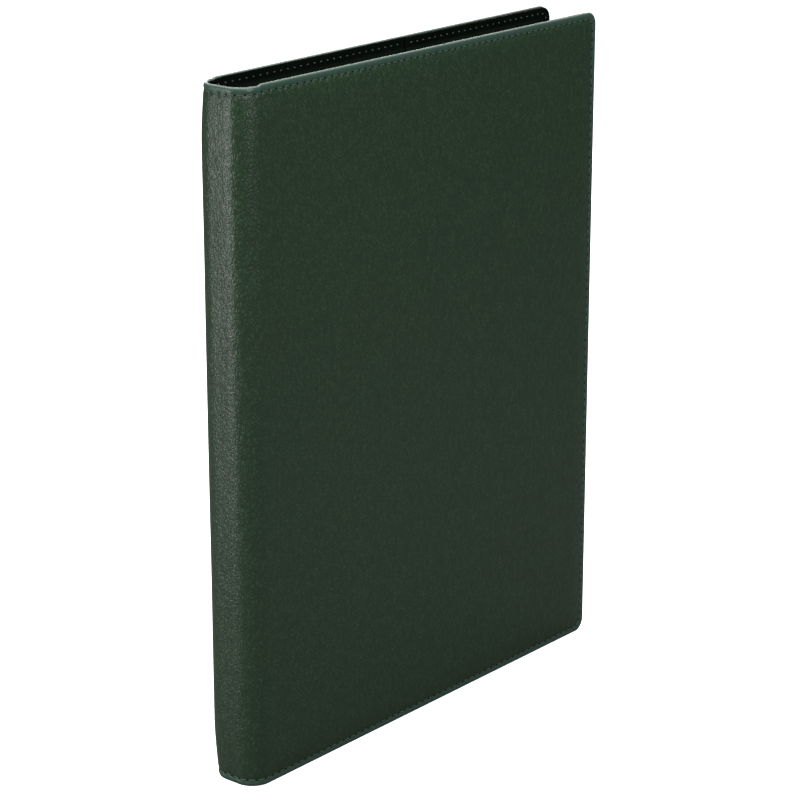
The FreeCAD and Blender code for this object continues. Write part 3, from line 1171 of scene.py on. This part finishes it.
# Name, place, what it faces, width and height, and watts.
SOFT_BOXES = (
    ("spine_softbox", (-0.75, 0.30, 0.18), (-0.12, 0.0, 0.16), (0.20, 0.50), 3.6),
    ("top_softbox", (-0.35, -0.1, 1.9), (0.0, 0.0, 0.0), (2.4, 2.4), 72.0),
    ("front_softbox", (-0.20, -0.95, 0.70), (-0.1, 0.0, 0.3), (0.5, 0.5), 5.5),
    ("back_softbox", (1.05, 0.95, 0.72), (0.0, 0.0, 0.3), (1.7, 0.7), 17.0),
)
SURROUND_LIGHT = 0.10


def area_light(name, place, target, size, power):
    """A soft box that faces a target."""
    data = bpy.data.lights.new(name, "AREA")
    data.shape = "RECTANGLE"
    data.size, data.size_y = size
    data.energy = power
    light = bpy.data.objects.new(name, data)
    light.location = place
    light.rotation_euler = (Vector(target) - Vector(place)).to_track_quat("-Z", "Y").to_euler()
    light.visible_camera = False
    bpy.context.scene.collection.objects.link(light)


def make_lights():
    """The soft boxes, and a white surround that gives only a little light."""
    for soft_box in SOFT_BOXES:
        area_light(*soft_box)
    world = bpy.data.worlds.new("stage_world")
    world.use_nodes = True
    tree = world.node_tree
    surround = tree.nodes["Background"]
    surround.inputs["Color"].default_value = (1.0, 1.0, 1.0, 1.0)
    surround.inputs["Strength"].default_value = SURROUND_LIGHT
    backdrop = tree.nodes.new("ShaderNodeBackground")
    backdrop.inputs["Strength"].default_value = 1.0
    seen = tree.nodes.new("ShaderNodeLightPath")
    choose = tree.nodes.new("ShaderNodeMixShader")
    tree.links.new(seen.outputs["Is Camera Ray"], choose.inputs[0])
    tree.links.new(surround.outputs[0], choose.inputs[1])
    tree.links.new(backdrop.outputs[0], choose.inputs[2])
    tree.links.new(choose.outputs[0], tree.nodes["World Output"].inputs["Surface"])
    bpy.context.scene.world = world
    bpy.context.scene.view_settings.view_transform = "Standard"


def make_camera():
    """The camera, looking down at the spine and the front cover."""
    stage = bpy.context.scene.album_stage
    yaw, pitch = stage.camera_yaw, stage.camera_pitch
    ahead = Vector((math.sin(yaw) * math.cos(pitch), math.cos(yaw) * math.cos(pitch),
                    -math.sin(pitch)))
    data = bpy.data.cameras.new("album_camera")
    data.lens = stage.camera_lens
    data.clip_start, data.clip_end = 0.01, 50.0
    camera = bpy.data.objects.new("album_camera", data)
    camera.location = stage.camera_place
    camera.rotation_euler = ahead.to_track_quat("-Z", "Y").to_euler()
    bpy.context.scene.collection.objects.link(camera)
    bpy.context.scene.camera = camera


# ---- panel and registration ----

OPERATORS = (
    ALBUM_OT_frame_finishes,
    ALBUM_OT_hides,
    ALBUM_OT_foam,
    ALBUM_OT_linings,
    ALBUM_OT_pockets,
    ALBUM_OT_stitching,
    ALBUM_OT_stage,
)
SETTINGS = (
    (AlbumCaseSettings, "album_case"),
    (AlbumSeamSettings, "album_seam"),
    (AlbumColours, "album_colours"),
    (AlbumStageSettings, "album_stage"),
)


class ALBUM_PT_panel(bpy.types.Panel):
    """Lists the album's pieces and their settings"""

    bl_idname = "ALBUM_PT_panel"
    bl_label = "Stamp album"
    bl_space_type = "VIEW_3D"
    bl_region_type = "UI"
    bl_category = "Album"

    def draw(self, context):
        for operator in OPERATORS:
            self.layout.operator(operator.bl_idname)
        for group, name in SETTINGS:
            box = self.layout.box()
            for key in group.__annotations__:
                box.prop(getattr(context.scene, name), key)


def register():
    for group, name in SETTINGS:
        bpy.utils.register_class(group)
        setattr(bpy.types.Scene, name, bpy.props.PointerProperty(type=group))
    for operator in OPERATORS:
        bpy.utils.register_class(operator)
    bpy.utils.register_class(ALBUM_PT_panel)


def unregister():
    bpy.utils.unregister_class(ALBUM_PT_panel)
    for operator in reversed(OPERATORS):
        bpy.utils.unregister_class(operator)
    for group, name in reversed(SETTINGS):
        delattr(bpy.types.Scene, name)
        bpy.utils.unregister_class(group)


def main():
    register()
    bpy.ops.album.frame_finishes()
    bpy.ops.album.hides()
    bpy.ops.album.foam()
    bpy.ops.album.linings()
    bpy.ops.album.pockets()
    bpy.ops.album.stitching()
    bpy.ops.album.stage()


if __name__ == "__main__":
    main()
